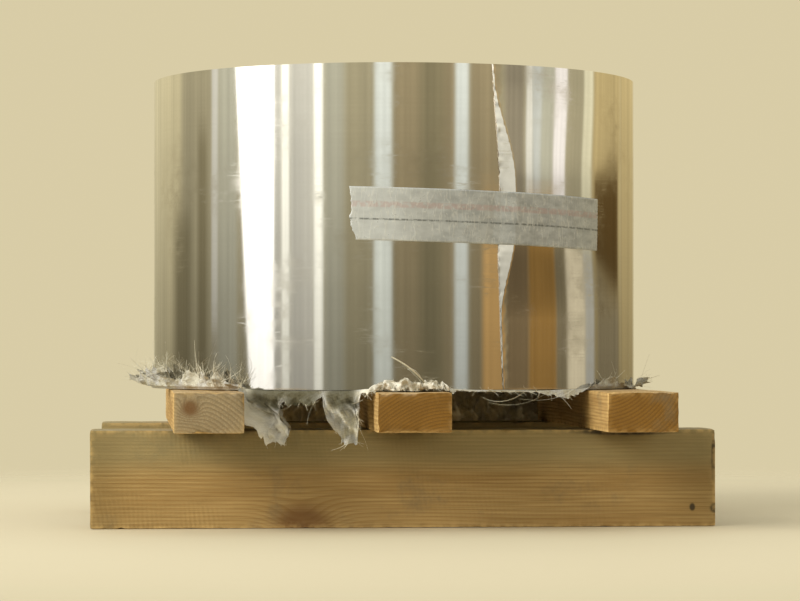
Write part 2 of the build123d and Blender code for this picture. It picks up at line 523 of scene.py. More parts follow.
def rag_profile(degrees):
    """The free length of the rim at each angle, in millimetres, three values of its shape, and two
    of painted light.

    A rag's strength is the exponential of minus the fourth power of the way from its middle over
    its half width. Where rags overlap, their shapes blend.
    """
    free = np.full(len(degrees), RIM_LENGTH)
    shapes = np.zeros((5, len(degrees)))
    total = np.zeros(len(degrees))
    for middle, half_width, length, *shape in RAGS:
        apart = (degrees - middle + 180) % 360 - 180
        strength = np.exp(-((apart / half_width) ** 4))
        free = np.maximum(free, length * strength)
        shapes = shapes + np.outer(shape, strength)
        total = total + strength
    return free, *(shapes / np.maximum(total, 1))


def torn_sheet(settings):
    """The torn wrap on a polar grid: flat under the coil, then a free rim that bends up or down.

    The rim's slope grows along an S-curve from flat to the rag's, and adding up the slope's cosine
    and sine gives the rim's reach and height. Random crumples, pleats and leaning folds bend it on
    the way, and next to the coil it rolls up a little. It goes round the coil and the battens.
    """
    columns, flat_rows = 1080, 44
    pleat_size, fold_size, roll_size, sway_size = in_metres((8, 5, 1.6, 4))
    wrinkle_height, hole, rim_start, off_coil, off_batten = in_metres((3.2, 2, 1.5, 1.2, 0.5))
    angle = np.linspace(-math.pi, math.pi, columns, endpoint=False)
    free, tilt, flick, drift, root_light, tip_light = rag_profile(np.degrees(angle))
    ring = around(0.25, angle)
    ring_3d = with_height(ring, 0.0)
    ragged = 0.26 * smooth_noise(ring_3d, 7 * MM, 12) + 0.16 * smooth_noise(ring_3d, 1.8 * MM, 13)
    free = free * MM * (1 + ragged * np.clip(36 / free, 0.5, 1.4))

    # The flat part, with soft wrinkles where the bore leaves it free
    start = COIL_RADIUS + rim_start
    flat_radius = np.linspace(hole, start, flat_rows)[:, None]
    flat_place = around(flat_radius, angle)
    flat_3d = with_height(flat_place, 0.0)
    in_bore = 1 - smoothstep(flat_radius, BORE_RADIUS - 12 * MM, BORE_RADIUS)
    wrinkle = smooth_noise(flat_3d, 34 * MM, 14) + 0.6 * smooth_noise(flat_3d, 11 * MM, 15)
    flat_height = (SHEET_LOW.z + SHEET_HIGH.z) / 2 - settings.sheet_sag * sag_between(flat_place)
    flat_height = flat_height + wrinkle_height * np.clip(wrinkle, -0.1, 1) * in_bore

    # The free rim: its slope, and from that its reach and its rise
    share = np.linspace(0, 1, RIM_ROWS + 1)[1:, None]
    run = share * free
    rim_3d = with_height(ring, run)
    crumple = smooth_noise(rim_3d, 10 * MM, 16) + 0.7 * smooth_noise(rim_3d, 4.5 * MM, 18)
    calm = 0.6 * np.clip(np.abs(tilt) / 90, 0, 1) + 0.38 * np.clip(np.abs(flick) / 180, 0, 1)
    crumple = crumple * (1 - calm) * smoothstep(run, 1 * MM, 8 * MM)
    slope = tilt * smoothstep(run, 0, np.minimum(0.3 * free, 9 * MM))
    slope = np.radians(slope + flick * smoothstep(share, 0.35, 1) + settings.crumple * crumple)
    reach = start + np.cumsum(np.cos(slope) * free / RIM_ROWS, axis=0)
    rise = np.cumsum(np.sin(slope) * free / RIM_ROWS, axis=0)

    # Pleats across, folds that lean, the roll next to the coil, and a slow sway
    pleats = smooth_noise(rim_3d * np.array([1, 1, 0.3]), 7 * MM, 17)
    pleats = pleats + 0.5 * smooth_noise(rim_3d, 3 * MM, 19)
    leaning = np.stack([COIL_RADIUS * angle - 0.8 * run, 0.3 * run, 0 * run], axis=-1)
    folds = smooth_noise(leaning, 6 * MM, 30)
    reach = reach + pleat_size * pleats * smoothstep(run, 2 * MM, 14 * MM)
    reach = reach + fold_size * folds * smoothstep(run, 6 * MM, 20 * MM)
    roll = run / roll_size
    rim_height = flat_height[-1:] + rise + roll_size * roll * np.exp(1 - roll)
    beside_coil = rim_height > COIL_LOW.z - 1.5 * MM
    reach = np.maximum(reach, np.where(beside_coil, COIL_RADIUS + off_coil, 0))
    sway = sway_size * smooth_noise(rim_3d, 24 * MM, 20) + drift * MM
    rim_place = around(reach, angle + sway * smoothstep(run, 4 * MM, 44 * MM) / reach)
    root = around(start, angle)
    rim_place = beside_battens(rim_place, rim_height, root)
    over = over_any_batten(rim_place) & over_any_batten(root)
    rim_height = np.where(over, np.maximum(rim_height, BATTEN_TOP + off_batten), rim_height)

    place = np.concatenate([flat_place, rim_place])
    points = with_height(place, np.concatenate([flat_height, rim_height]))
    radial = np.concatenate([flat_radius + 0 * free, start + run])
    laid_out = around(radial, angle)
    flat_size = tuple(float(side) for side in np.ptp(laid_out[-1], axis=0))
    area = float((radial[-1] ** 2).sum() * math.pi / columns)
    hanging = np.clip(-tilt / 90, 0, 1)
    # Painted light and shade per point: root to tip, along the folds of hanging rags, and near the
    # rim
    clean = root_light + (tip_light - root_light) * smoothstep(share, 0.28, 0.6)
    clean = clean + 0.55 * folds * smoothstep(run, 8 * MM, 22 * MM) * hanging
    flat_light = root_light * smoothstep(flat_radius, start - 20 * MM, start)
    clean = np.concatenate([flat_light, clean])
    return points, disc_faces(*radial.shape), laid_out, clean, flat_size, area


def frayed_ends(settings, rim):
    """Thin flat fibres, each a four-sided tube along a parabola through three points.

    A fibre starts on the sheet's torn edge, leaves it along the cloth, and curls to one side. A few
    longer threads are listed one by one. None goes into the coil or a batten.
    """
    generator = np.random.default_rng(settings.fray_seed)
    count, path_points = settings.fray_count, 8
    shortest, longest, half_thickness, off_batten, off_coil = in_metres((2, 18, 0.09, 0.6, 2))
    edge, before = rim[-1], rim[-4]
    angle = np.degrees(np.arctan2(edge[:, 0], -edge[:, 1]))
    length_here = np.linalg.norm(edge - rim[-RIM_ROWS], axis=-1)
    chance = 0.15 + length_here / length_here.max()
    for middle, half_width, more in FRAYED_MORE:
        chance = chance + more * (np.abs(angle - middle) < half_width)
    root = generator.choice(len(edge), count, p=chance / chance.sum())
    leaving = unit(edge[root] - before[root]) + generator.normal(0, 0.45, (count, 3))
    length = generator.gamma(2.2, 2.6 * MM, (count, 1)).clip(shortest, longest)
    curl = generator.normal(0, 0.55, (count, 3)) + np.array([0, 0, 0.12])
    start = edge[root] - 1.5 * MM * leaving
    middle = start + leaving * length * 0.5
    stop = start + (leaving + 0.6 * curl) * length
    width = generator.uniform(0.2, 0.6, (count, 1)) * MM

    thread_widths, *thread_spots = zip(*LOOSE_THREADS)
    spots = [np.concatenate([spot, np.array(thread) * MM])
             for spot, thread in zip((start, middle, stop), thread_spots)]
    width = np.concatenate([width, np.array(thread_widths)[:, None] * MM])
    for spot in spots[1:]:
        above_batten = np.maximum(spot[:, 2], BATTEN_TOP + off_batten)
        spot[:, 2] = np.where(over_any_batten(spot), above_batten, spot[:, 2])
        outside = np.maximum(1, (COIL_RADIUS + off_coil) / np.linalg.norm(spot[:, :2], axis=-1))
        spot[:, :2] *= np.where(spot[:, 2] > COIL_LOW.z, outside, 1)[:, None]

    share = np.linspace(0, 1, path_points)[None, :, None]
    start, middle, stop = (spot[:, None] for spot in spots)
    path = (1 - share) ** 2 * start + 2 * share * (1 - share) * middle + share**2 * stop
    forward = unit(np.gradient(path, axis=1))
    sideways = unit(np.cross(forward, generator.normal(0, 1, (len(path), 1, 3))))
    half_width = sideways * width[:, None] / 2 * (1 - 0.55 * share)
    half_thick = np.cross(forward, sideways) * half_thickness
    corners = [half_width, half_thick, -half_width, -half_thick]
    points = path[:, :, None] + np.stack(corners, axis=2)
    one = disc_faces(*points.shape[1:3], far_end=True)
    first = np.arange(len(points)) * points.shape[1] * points.shape[2]
    return points, (np.array(one)[None] + first[:, None, None]).reshape(-1, 4)


def sawn_timber(name, settings, seed):
    """One sawn timber in the box of its solid.

    The six sides of a box are grids whose points are pulled to the box less its arris, and then
    pushed out by the arris along the way they came, which rounds the edges. Noise makes the faces
    uneven and chips the arrises.
    """
    low, high = (np.array(corner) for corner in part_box(name))
    turn = math.radians(TIMBERS[name]["turn"])
    size = high - low
    if TIMBERS[name]["axis"] == "Y":
        size[0] -= size[1] * abs(math.sin(turn))
    half = size / 2
    counts = np.maximum((size / settings.timber_cell).astype(int), 4)
    patches, faces = [], []
    for axis in range(3):
        first, second = (axis + 1) % 3, (axis + 2) % 3
        u, v = np.meshgrid(*(np.linspace(-1, 1, counts[way] + 1) for way in (first, second)),
                           indexing="ij")
        for side in (-1, 1):
            patch = np.empty(u.shape + (3,))
            patch[..., axis], patch[..., first], patch[..., second] = side, u, v
            faces.append(grid_quads(*u.shape) + sum(len(before) for before in patches))
            patches.append((patch * half).reshape(-1, 3))
    box = np.concatenate(patches)

    arris = settings.timber_arris
    core = np.clip(box, -half + arris, half - arris)
    away = unit(box - core)
    points = core + arris * away
    from_edge = np.sort(half - np.abs(box), axis=-1)[:, 1]
    wear_reach, most = in_metres((2.5, 0.2))
    uneven = smooth_noise(points, 50 * MM, seed) * 0.35 * MM
    uneven = uneven + smooth_noise(points, 7 * MM, seed + 1) * 0.14 * MM
    chips = smooth_noise(points, 13 * MM, seed + 2) + 0.5 * smooth_noise(points, 5 * MM, seed + 3)
    at_arris = 1 - smoothstep(from_edge, 0, 5 * MM)
    chips = settings.chip_depth * np.clip(chips - 0.25, 0, 1) * at_arris
    points = points + away * (np.minimum(uneven, most) - most - chips)[:, None]
    cosine, sine = math.cos(turn), math.sin(turn)
    points[:, :2] = points[:, :2] @ np.array([[cosine, sine], [-sine, cosine]])
    points = np.clip(points + (low + high) / 2, low, high)
    return points, np.concatenate(faces), np.exp(-from_edge / wear_reach)


# Shader nodes


def feed(tree, sockets, values):
    """Links each named socket to its value, or sets it where the value is a constant."""
    for name, value in values.items():
        if isinstance(value, bpy.types.NodeSocket):
            tree.links.new(value, sockets[name])
        else:
            sockets[name].default_value = value


def put(tree, kind, inputs=None, **values):
    """A new node with these values and these inputs."""
    made = tree.nodes.new(kind)
    for name, value in values.items():
        setattr(made, name, value)
    feed(tree, made.inputs, inputs or {})
    return made


def calc(tree, operation, *values, clamp=False):
    """The result of one Math node on these sockets or numbers."""
    inputs = dict(enumerate(values))
    return put(tree, "ShaderNodeMath", inputs, operation=operation, use_clamp=clamp).outputs[0]


def product(tree, first, *others):
    """All of these multiplied."""
    for other in others:
        first = calc(tree, "MULTIPLY", first, other)
    return first


def summed(tree, constant, *terms):
    """A constant plus each value times its weight."""
    for value, weight in terms:
        constant = calc(tree, "MULTIPLY_ADD", value, weight, constant)
    return constant


def from_half(tree, value):
    """How far a value is from a half."""
    return calc(tree, "ABSOLUTE", calc(tree, "SUBTRACT", value, 0.5))


def vector_calc(tree, operation, first, second=None):
    """The result of one Vector Math node: a number for a length, and a vector for the rest."""
    inputs = {0: first}
    if second is not None:
        inputs[3 if operation == "SCALE" else 1] = second
    made = put(tree, "ShaderNodeVectorMath", inputs, operation=operation)
    return made.outputs["Value" if operation == "LENGTH" else "Vector"]


def axes(tree, vector):
    """The three parts of a vector, by the names of the axes."""
    return put(tree, "ShaderNodeSeparateXYZ", {0: vector}).outputs


def joined(tree, x, y, z):
    """A vector of three parts."""
    return put(tree, "ShaderNodeCombineXYZ", {0: x, 1: y, 2: z}).outputs[0]


def ramp(tree, value, low, high, to_low=0.0, to_high=1.0):
    """Carries low..high to to_low..to_high along an S-curve, held at both ends."""
    inputs = {
        "Value": value, "From Min": low, "From Max": high, "To Min": to_low, "To Max": to_high}
    return put(tree, "ShaderNodeMapRange", inputs, interpolation_type="SMOOTHSTEP").outputs[0]


def edge(tree, value, at, softness, falling=False):
    """An S-curve of this width across a value, up from 0 to 1 or falling from 1 to 0."""
    half = softness / 2
    return ramp(tree, value, at - half, at + half, float(falling), float(not falling))


def band(tree, value, start, stop, softness):
    """1 between start and stop, and 0 outside, with a soft edge at either end."""
    return product(
        tree, edge(tree, value, start, softness), edge(tree, value, stop, softness, falling=True))


def noise(tree, vector, scale, detail=2.0, roughness=0.5):
    """Soft random values, 0 to 1 and mostly near a half, at a scale per metre, or one per axis."""
    if isinstance(scale, tuple):
        vector = put(tree, "ShaderNodeMapping", {"Vector": vector, "Scale": scale}).outputs[0]
        scale = 1.0
    inputs = {"Vector": vector, "Scale": scale, "Detail": detail, "Roughness": roughness}
    return put(tree, "ShaderNodeTexNoise", inputs).outputs[0]


def layered(tree, colour, *layers):
    """A colour with others laid over it, each by its share from 0 to 1."""
    for share, over in layers:
        first, second = (one if isinstance(one, bpy.types.NodeSocket) else (*one, 1.0)
                         for one in (colour, over))
        inputs = {0: share, 6: first, 7: second}
        colour = put(tree, "ShaderNodeMix", inputs, data_type="RGBA").outputs[2]
    return colour


def shade(colour, factor):
    """A darker or lighter colour, held at 1."""
    return tuple(min(1.0, part * factor) for part in colour)


def point_weight(tree, name):
    """The value that the mesh keeps for each point under this name."""
    return put(tree, "ShaderNodeAttribute", attribute_name=name).outputs["Fac"]


def new_group(name, inputs, outputs):
    """An empty shader node group with named sockets, and the ends that its nodes link to."""
    tree = bpy.data.node_groups.new(name, "ShaderNodeTree")
    for socket, kind in inputs.items():
        tree.interface.new_socket(socket, in_out="INPUT", socket_type=f"NodeSocket{kind}")
    for socket in outputs:
        tree.interface.new_socket(socket, in_out="OUTPUT", socket_type="NodeSocketFloat")
    return tree, tree.nodes.new("NodeGroupInput").outputs, tree.nodes.new("NodeGroupOutput").inputs


def use_group(tree, name, inputs):
    """Places a group in a tree with its own values, and returns its outputs."""
    return put(tree, "ShaderNodeGroup", inputs, node_tree=bpy.data.node_groups[name]).outputs


def make_handling_marks():
    """Smudges where two sizes of noise run high, and hairlines along ridges of stretched noise."""
    tree, enter, leave = new_group(
        "Handling marks",
        {"Vector": "Vector", "Smudges per metre": "Float", "Hairline Stretch": "Vector"},
        ("Smudge", "Hairline", "Height"),
    )
    large = noise(tree, enter["Vector"], enter["Smudges per metre"], 3.0, 0.6)
    small = noise(tree, enter["Vector"], product(tree, enter["Smudges per metre"], 5.3))
    drawn_out = vector_calc(tree, "MULTIPLY", enter["Vector"], enter["Hairline Stretch"])
    ridge = from_half(tree, noise(tree, drawn_out, 1.0))
    hairline = product(tree, ramp(tree, ridge, 0.0, 0.012, 1.0, 0.0), ramp(tree, large, 0.5, 0.62))
    feed(tree, leave, {
        "Smudge": product(tree, ramp(tree, large, 0.46, 0.7), ramp(tree, small, 0.3, 0.65)),
        "Hairline": hairline,
        "Height": product(tree, hairline, -1.0),
    })


def make_settled_dust():
    """Dust on what faces up: an S-curve of the normal's height, broken up by two sizes of noise."""
    tree, enter, leave = new_group(
        "Settled dust",
        {"Vector": "Vector", "Amount": "Float", "Patches per metre": "Float"},
        ("Mask",),
    )
    upward = axes(tree, put(tree, "ShaderNodeNewGeometry").outputs["Normal"])["Z"]
    patches = noise(tree, enter["Vector"], enter["Patches per metre"], 4.0, 0.65)
    specks = summed(tree, 0.5, (noise(tree, enter["Vector"], 900.0, 1.0), 0.8))
    cover = product(tree, ramp(tree, upward, 0.2, 0.95), ramp(tree, patches, 0.35, 0.7), specks)
    feed(tree, leave, {"Mask": calc(tree, "MULTIPLY", cover, enter["Amount"], clamp=True)})


def make_wood_figure():
    """Sawn softwood.

    Growth rings are the distance from a wandering pith over the ring's width, and each darkens
    slowly and ends sharply. Knots push the rings aside. Fibres are noise drawn out along X.
    """
    tree, enter, leave = new_group(
        "Wood figure",
        {"Vector": "Vector", "Pith": "Vector", "Ring Width": "Float", "Wander": "Float",
         "Knot": "Float"},
        ("Late Wood", "Fibre", "Tone", "Height"),
    )
    drift = noise(tree, enter["Vector"], (3.0, 9.0, 9.0)).node.outputs["Color"]
    drift = vector_calc(tree, "SUBTRACT", drift, (0.5, 0.5, 0.5))
    drift = vector_calc(tree, "SCALE", drift, enter["Wander"])
    placed = vector_calc(tree, "SUBTRACT", enter["Vector"], enter["Pith"])
    across = vector_calc(
        tree, "MULTIPLY", vector_calc(tree, "ADD", placed, drift), (0.0, 1.0, 1.0))
    distance = summed(tree, vector_calc(tree, "LENGTH", across), (enter["Knot"], 16 * MM))
    share = calc(tree, "FRACT", calc(tree, "DIVIDE", distance, enter["Ring Width"]))
    late = product(tree, ramp(tree, share, 0.3, 0.88), ramp(tree, share, 0.93, 1.0, 1.0, 0.0))
    fibre = noise(tree, enter["Vector"], (14.0, 700.0, 700.0), 3.0, 0.6)
    feed(tree, leave, {
        "Late Wood": late,
        "Fibre": fibre,
        "Tone": noise(tree, enter["Vector"], (5.0, 45.0, 45.0), 3.0, 0.6),
        "Height": summed(tree, fibre, (late, 0.5)),
    })


def make_saw_marks():
    """Saw marks: a sine across the way of the feed, bent and broken by noise."""
    tree, enter, leave = new_group(
        "Saw marks", {"Vector": "Vector", "Pitch": "Float", "Lean": "Float"}, ("Height",))
    place = axes(tree, enter["Vector"])
    aside = calc(tree, "ADD", place["Y"], place["Z"])
    bend = noise(tree, enter["Vector"], 22.0)
    bent = summed(tree, place["X"], (aside, enter["Lean"]), (bend, 6 * MM))
    turns = calc(tree, "DIVIDE", bent, enter["Pitch"])
    wave = calc(tree, "SINE", product(tree, turns, 2 * math.pi))
    broken = ramp(tree, noise(tree, enter["Vector"], 14.0, 3.0), 0.42, 0.62)
    feed(tree, leave, {"Height": product(tree, wave, broken)})


def handling_marks(tree, place, smudges, hairline_stretch):
    """Smudges, hairlines and their height, at so many smudges per metre."""
    return use_group(tree, "Handling marks", {
        "Vector": place, "Smudges per metre": smudges, "Hairline Stretch": hairline_stretch})


def settled_dust(tree, place, amount, patches):
    """A layer of settled dust: its mask, with so many patches per metre, and its colour."""
    dust = use_group(tree, "Settled dust", {
        "Vector": place, "Amount": amount, "Patches per metre": patches})
    return dust["Mask"], DUST_COLOUR


# Materials


def new_material(name):
    """An empty material, its nodes, its shader and its texture coordinates."""
    material = bpy.data.materials.new(name)
    material.use_nodes = True
    tree = material.node_tree
    return material, tree, tree.nodes["Principled BSDF"], put(tree, "ShaderNodeTexCoord").outputs


def dress(tree, shader, colour, roughness, height, bump_depth, **constants):
    """Links colour, roughness and bump to a shader, and sets its constants."""
    bump = put(tree, "ShaderNodeBump", {"Height": height, "Distance": bump_depth, "Strength": 1.0})
    feed(tree, shader.inputs, {
        "Base Color": colour, "Roughness": roughness, "Normal": bump.outputs[0],
        **{name.replace("_", " "): value for name, value in constants.items()}})


def steel_face(settings):
    """Bright rolled strip: rolling lines along it, handling marks, and a slow change of tone."""
    material, tree, shader, coordinates = new_material("rolled_steel_face")
    along = coordinates["UV"]
    lines = noise(tree, along, (4.0, 520.0, 1.0), 3.0, 0.6)
    bands = noise(tree, along, (1.2, 26.0, 1.0))
    marks = handling_marks(tree, along, 14.0, (9.0, 150.0, 1.0))
    colour = layered(
        tree, settings.steel_colour,
        (summed(tree, 0.0, (lines, 0.12), (bands, 0.24)), shade(settings.steel_colour, 0.62)),
        (point_weight(tree, "burnished"), settings.burnished_colour),
        (product(tree, marks["Smudge"], 0.25), FACE_SMUDGE_COLOUR),
        settled_dust(tree, coordinates["Object"], 0.3, 20.0),
    )
    roughness = summed(
        tree, 0.045, (marks["Smudge"], 0.09), (lines, 0.035), (marks["Hairline"], 0.12))
    height = summed(tree, 0.0, (lines, 0.5), (marks["Height"], 0.6))
    dress(tree, shader, colour, roughness, height, 0.004 * MM, Metallic=1.0)
    return material


def slit_edges(settings):
    """The ends of the turns: grooves a strip's thickness apart, dull and bright in fine rings."""
    material, tree, shader, coordinates = new_material("slit_steel_edges")
    position = coordinates["Object"]
    place = axes(tree, position)
    flat = vector_calc(tree, "MULTIPLY", position, (1.0, 1.0, 0.0))
    radius = vector_calc(tree, "LENGTH", flat)
    angle = calc(tree, "ARCTAN2", place["X"], place["Y"])
    turns = calc(tree, "DIVIDE", radius, settings.strip_thickness)
    turns = summed(tree, turns, (angle, 1 / (2 * math.pi)))
    groove = ramp(tree, from_half(tree, calc(tree, "FRACT", turns)), 0.3, 0.5, 1.0, 0.0)
    rings = joined(
        tree, *(product(tree, part, scale)
                for part, scale in ((place["X"], 3.0), (place["Y"], 3.0), (radius, 620.0))))
    fine = noise(tree, rings, 1.0, 2.0, 0.6)
    broad = noise(tree, rings, (1.0, 1.0, 0.16))
    marks = handling_marks(tree, position, 18.0, (60.0, 14.0, 1.0))
    colour = layered(
        tree, settings.edge_colour,
        (summed(tree, 0.0, (broad, 0.4), (fine, 0.7)), shade(settings.edge_colour, 0.45)),
        (product(tree, marks["Smudge"], 0.4), EDGE_SMUDGE_COLOUR),
        settled_dust(tree, position, 0.28, 16.0),
    )
    roughness = summed(tree, 0.22, (marks["Smudge"], 0.15), (fine, 0.16))
    height = summed(tree, groove, (fine, 1.4))
    dress(tree, shader, colour, roughness, height, 0.04 * MM, Metallic=1.0, Anisotropic=0.6)
    tangent = put(tree, "ShaderNodeTangent", direction_type="RADIAL", axis="Z")
    tree.links.new(tangent.outputs[0], shader.inputs["Tangent"])
    return material


def tape_finish(settings):
    """Filmy packing tape: cloudy where it isn't stuck down, creased, with two printed rules."""
    material, tree, shader, coordinates = new_material("packing_tape_film")
    place = coordinates["UV"]
    parts = axes(tree, place)
    clouds = noise(tree, place, (60.0, 110.0, 1.0), 4.0, 0.6)
    creases = from_half(tree, noise(tree, place, (190.0, 40.0, 1.0)))
    crease = ramp(tree, creases, 0.0, 0.03, 1.0, 0.0)
    worn = ramp(tree, noise(tree, place, 260.0, 3.0), 0.3, 0.55)
    rules = []
    for height, half, tint, strength in TAPE_RULES:
        away = calc(tree, "ABSOLUTE", calc(tree, "SUBTRACT", parts["Y"], height * MM))
        rule = ramp(tree, away, half * 0.7 * MM, half * 1.3 * MM, strength, 0.0)
        rules.append((product(tree, rule, worn), tint))
    colour = layered(
        tree, settings.tape_colour,
        (ramp(tree, clouds, 0.35, 0.68), shade(settings.tape_colour, 0.72)),
        (ramp(tree, parts["X"], -100 * MM, -20 * MM, 0.5, 0.0), shade(settings.tape_colour, 1.35)),
        *rules,
        (product(tree, crease, 0.35), CREASE_COLOUR),
    )
    marks = handling_marks(tree, place, 45.0, (120.0, 30.0, 1.0))
    roughness = summed(tree, 0.18, (marks["Smudge"], 0.2), (clouds, 0.25))
    height = summed(tree, crease, (clouds, 0.8))
    dress(tree, shader, colour, roughness, height, 0.08 * MM, IOR=1.47, Metallic=0.3)
    return material


def woven_wrap(settings):
    """Woven plastic cloth: flat tapes over and under each other, creased, with painted sheen, light
    and shade.
    """
    material, tree, shader, coordinates = new_material("woven_wrap")
    position, place = coordinates["Object"], coordinates["UV"]
    parts = axes(tree, place)
    tapes = [calc(tree, "DIVIDE", parts[axis], settings.weave_pitch) for axis in ("X", "Y")]
    domes = [calc(tree, "ABSOLUTE", calc(tree, "SINE", product(tree, tape, math.pi)))
             for tape in tapes]
    cells = calc(tree, "ADD", *[calc(tree, "FLOOR", tape) for tape in tapes])
    over = calc(tree, "PINGPONG", cells, 1.0)
    under = calc(tree, "SUBTRACT", 1.0, over)
    weave = summed(tree, 0.0, (domes[1], under), (domes[0], over))
    tones = noise(tree, place, (30.0, 400.0, 1.0))
    grime = noise(tree, position, 26.0, 4.0, 0.65)
    # Painted bluish sheen in patches, for cool highlights on the cloth
    painted_sheen = noise(tree, position, 60.0)
    creases = noise(tree, position, 130.0, 3.0, 0.6)
    # Painted light above 0 and painted shade below 0, as each point keeps it
    clean = point_weight(tree, "clean")
    colour = layered(
        tree, settings.wrap_colour,
        (ramp(tree, grime, 0.42, 0.72, 0.0, 0.5), settings.grime_colour),
        (ramp(tree, painted_sheen, 0.46, 0.58, 0.0, 0.6), settings.bluish_sheen_colour),
        (product(tree, tones, 0.3), shade(settings.wrap_colour, 0.6)),
        (ramp(tree, weave, 0.0, 0.5, 0.45, 0.0), shade(settings.wrap_colour, 0.4)),
        settled_dust(tree, position, 0.5, 24.0),
        (ramp(tree, clean, 0.0, 1.0, 0.0, 0.8), settings.cloth_light_colour),
        (ramp(tree, clean, -1.0, 0.0, 0.92, 0.0), settings.cloth_shade_colour),
    )
    roughness = summed(tree, 0.42, (grime, 0.3), (weave, -0.12))
    height = summed(tree, 0.0, (weave, 0.4), (creases, 2.0))
    dress(tree, shader, colour, roughness, height, 0.6 * MM, Specular_IOR_Level=0.3)
    return material


def loose_fibre(settings):
    """Split fibres of the wrap: pale, a little shiny, streaked along their length."""
    material, tree, shader, coordinates = new_material("loose_fibre")
    streaks = noise(tree, coordinates["Object"], 340.0)
    broad = noise(tree, coordinates["Object"], 40.0)
    tone = summed(tree, 0.0, (broad, 0.4), (streaks, 0.5))
    colour = layered(tree, shade(settings.wrap_colour, 1.35), (tone, settings.wrap_colour))
    dress(tree, shader, colour, summed(tree, 0.3, (broad, 0.3)), streaks, 0.1 * MM)
    return material


def spots_mask(tree, position, spots):
    """The strongest of several round spots, each times its own strength where it has one.

    A spot falls off as the exponential of minus the square of the distance over its radii.
    """
    strongest = 0.0
    for middle, radii, *strength in spots:
        apart = vector_calc(tree, "SUBTRACT", position, in_metres(middle))
        apart = vector_calc(tree, "LENGTH", vector_calc(tree, "DIVIDE", apart, in_metres(radii)))
        fall = calc(tree, "EXPONENT", product(tree, apart, apart, -1.0))
        strongest = calc(tree, "MAXIMUM", strongest, product(tree, fall, *strength))
    return strongest


def sawn_wood(name, light, dark, end_colour, timber, settings):
    """Sawn softwood whose figure runs along the timber, with end grain, knots, saw marks and wear.

    The coordinates are turned so that X lies along the timber. A bearer also gets painted shade
    above a height and under the battens, grime at its ends, and stains, one a painted shadow line.
    """
    material, tree, shader, coordinates = new_material(name)
    position = coordinates["Object"]
    place = axes(tree, position)
    turned = position
    if timber["axis"] == "Y":
        turned = joined(tree, place["Y"], place["X"], place["Z"])
    knots = spots_mask(tree, position, timber["knots"])
    figure = use_group(tree, "Wood figure", {
        "Vector": turned, "Pith": in_metres(timber["pith"]), "Ring Width": timber["ring"] * MM,
        "Wander": 12 * MM, "Knot": knots})
    saw = use_group(tree, "Saw marks", {
        "Vector": turned, "Pitch": timber["saw_pitch"] * MM, "Lean": 0.12})
    normal = axes(tree, put(tree, "ShaderNodeNewGeometry").outputs["Normal"])
    end = ramp(tree, calc(tree, "ABSOLUTE", normal[timber["axis"]]), 0.6, 0.85)
    pores = noise(tree, position, 1300.0)
    clouds = noise(tree, position, 55.0)
    dirt = noise(tree, position, 19.0, 5.0, 0.68)

    side = layered(
        tree, light,
        (product(tree, figure["Late Wood"], 0.55), dark),
        (ramp(tree, figure["Tone"], 0.4, 0.7, 0.0, 0.55), dark),
    )
    end_face = layered(
        tree, end_colour,
        (product(tree, figure["Late Wood"], 0.6), shade(end_colour, 0.42)),
        (ramp(tree, pores, 0.4, 0.7, 0.0, 0.4), shade(end_colour, 0.5)),
        (ramp(tree, clouds, 0.42, 0.6, 0.0, 0.3), shade(end_colour, 0.55)),
    )
    colour = layered(
        tree, side,
        (end, end_face),
        (ramp(tree, figure["Fibre"], 0.3, 0.72, 0.0, 0.45), shade(dark, 0.6)),
        (ramp(tree, knots, 0.15, 0.9, 0.0, 0.85), settings.knot_colour),
        (ramp(tree, dirt, 0.52, 0.75, 0.0, 0.6), settings.dirt_colour),
    )
    if "shaded_above" in timber:
        # Painted shade: the bearer's upper part darker above a height
        painted_upper_shade = edge(tree, place["Z"], timber["shaded_above"] * MM, 24 * MM)
        stains = spots_mask(tree, position, timber["stains"])
        # Painted shade under the battens with grime at the ends, and stains with a painted shadow
        # line
        colour = layered(
            tree, colour,
            (product(tree, painted_upper_shade, 0.6), settings.upper_shade_colour),
            (spots_mask(tree, position, timber["smudges"]), settings.shade_and_grime_colour),
            (ramp(tree, stains, 0.25, 0.7, 0.0, 0.9), settings.stain_and_shadow_colour),
        )
    worn = ramp(tree, noise(tree, position, 90.0, 3.0), 0.4, 0.6)
    rubbed = product(tree, point_weight(tree, "arris"), worn, summed(tree, 0.6, (end, -0.4)))
    colour = layered(
        tree, colour, (rubbed, shade(light, 1.35)), settled_dust(tree, position, 0.45, 15.0))
    roughness = summed(tree, 0.5, (dirt, 0.2), (figure["Fibre"], 0.25))
    height = summed(
        tree, 0.0,
        (saw["Height"], 0.22), (figure["Height"], 0.5), (pores, summed(tree, 0.2, (end, 0.6))))
    dress(tree, shader, colour, roughness, height, 0.3 * MM, Specular_IOR_Level=0.3)
    return material


# Settings


def colour_setting(name, description, default):
    """A colour property in linear values."""
    return bpy.props.FloatVectorProperty(
        name=name, description=description, default=default, size=3, min=0.0, max=1.0,
        subtype="COLOR")


def length_setting(name, description, default):
    """A length property in metres."""
    return bpy.props.FloatProperty(
        name=name, description=description, default=default, precision=5, unit="LENGTH")


def number_setting(name, description, default, **limits):
    """A plain number: degrees, or what its description says."""
    return bpy.props.FloatProperty(name=name, description=description, default=default, **limits)


def count_setting(name, description, default):
    """A whole number from 0 up."""
    return bpy.props.IntProperty(name=name, description=description, default=default, min=0)


